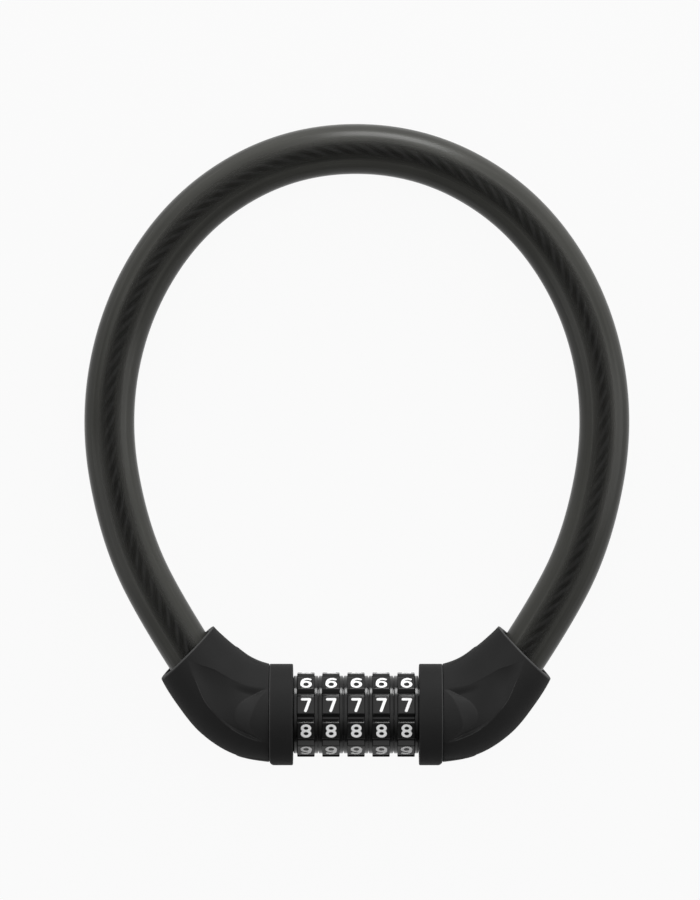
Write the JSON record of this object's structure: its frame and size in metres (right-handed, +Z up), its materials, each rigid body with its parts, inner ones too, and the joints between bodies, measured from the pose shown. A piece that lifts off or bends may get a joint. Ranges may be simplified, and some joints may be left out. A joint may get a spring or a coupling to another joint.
{
  "type": "combination ring cable lock",
  "caption": "Ring of sheathed steel cable whose elbow ends close on a barrel of number dials; with the code set, one elbow and its plug pull straight out.",
  "frame": {"origin": "on the table, under the middle of the lock's outline, with the lock lying on its back", "axes": "+X along the barrel, from the end that pulls out to the fixed end; +Y from the barrel to the far side of the ring; +Z up, out of the ring's front, which tips 2.6 degrees"},
  "size_m": [0.1638, 0.1926, 0.0304],
  "materials": {
    "housing": "fine matte, soft to the touch",
    "collar": "fine matte",
    "casting": "bare die cast zinc, drawn with the density of iron",
    "ferrule": "swaged steel",
    "pin": "ground steel",
    "plug": "nickel plated steel",
    "tube": "zinc plated steel",
    "spring_steel": "spring steel",
    "sheath": "smoky see-through plastic, satin",
    "wire_rope": "twisted steel wires",
    "dial": "glossy black with white figures",
    "code_ring": "turned brass"
  },
  "bodies": {
    "barrel_side": {"right_housing_front": "housing", "right_housing_rear": "housing", "left_collar": "collar", "right_collar": "collar", "right_block": "casting", "right_ferrule": "ferrule", "right_cross_pin": "pin", "barrel_tube": "tube", "retaining_clip": "spring_steel", "detent_spring": "spring_steel", "cable_sheath": "sheath", "cable_core": "wire_rope"},
    "plug_side": {"left_housing_front": "housing", "left_housing_rear": "housing", "left_block": "casting", "left_ferrule": "ferrule", "left_cross_pin": "pin", "plug": "plug"},
    "dial_1": {"dial_1": "dial", "code_ring_1": "code_ring"},
    "dial_2": {"dial_2": "dial", "code_ring_2": "code_ring"},
    "dial_3": {"dial_3": "dial", "code_ring_3": "code_ring"},
    "dial_4": {"dial_4": "dial", "code_ring_4": "code_ring"},
    "dial_5": {"dial_5": "dial", "code_ring_5": "code_ring"}
  },
  "joints": [
    {"name": "plug_slide", "type": "slide", "parent": "barrel_side", "child": "plug_side", "axis": [-1, 0, 0], "range_m": [0, 0.048], "deforming": ["cable_sheath", "cable_core"]},
    {"name": "dial_1_turn", "type": "hinge", "parent": "barrel_side", "child": "dial_1", "pos_m": [0, -0.08106, 0.0152], "axis": [1, 0, 0], "continuous": true, "deforming": ["detent_spring"]},
    {"name": "dial_2_turn", "type": "hinge", "parent": "barrel_side", "child": "dial_2", "pos_m": [0, -0.08106, 0.0152], "axis": [1, 0, 0], "continuous": true, "deforming": ["detent_spring"]},
    {"name": "dial_3_turn", "type": "hinge", "parent": "barrel_side", "child": "dial_3", "pos_m": [0, -0.08106, 0.0152], "axis": [1, 0, 0], "continuous": true, "deforming": ["detent_spring"]},
    {"name": "dial_4_turn", "type": "hinge", "parent": "barrel_side", "child": "dial_4", "pos_m": [0, -0.08106, 0.0152], "axis": [1, 0, 0], "continuous": true, "deforming": ["detent_spring"]},
    {"name": "dial_5_turn", "type": "hinge", "parent": "barrel_side", "child": "dial_5", "pos_m": [0, -0.08106, 0.0152], "axis": [1, 0, 0], "continuous": true, "deforming": ["detent_spring"]}
  ]
}
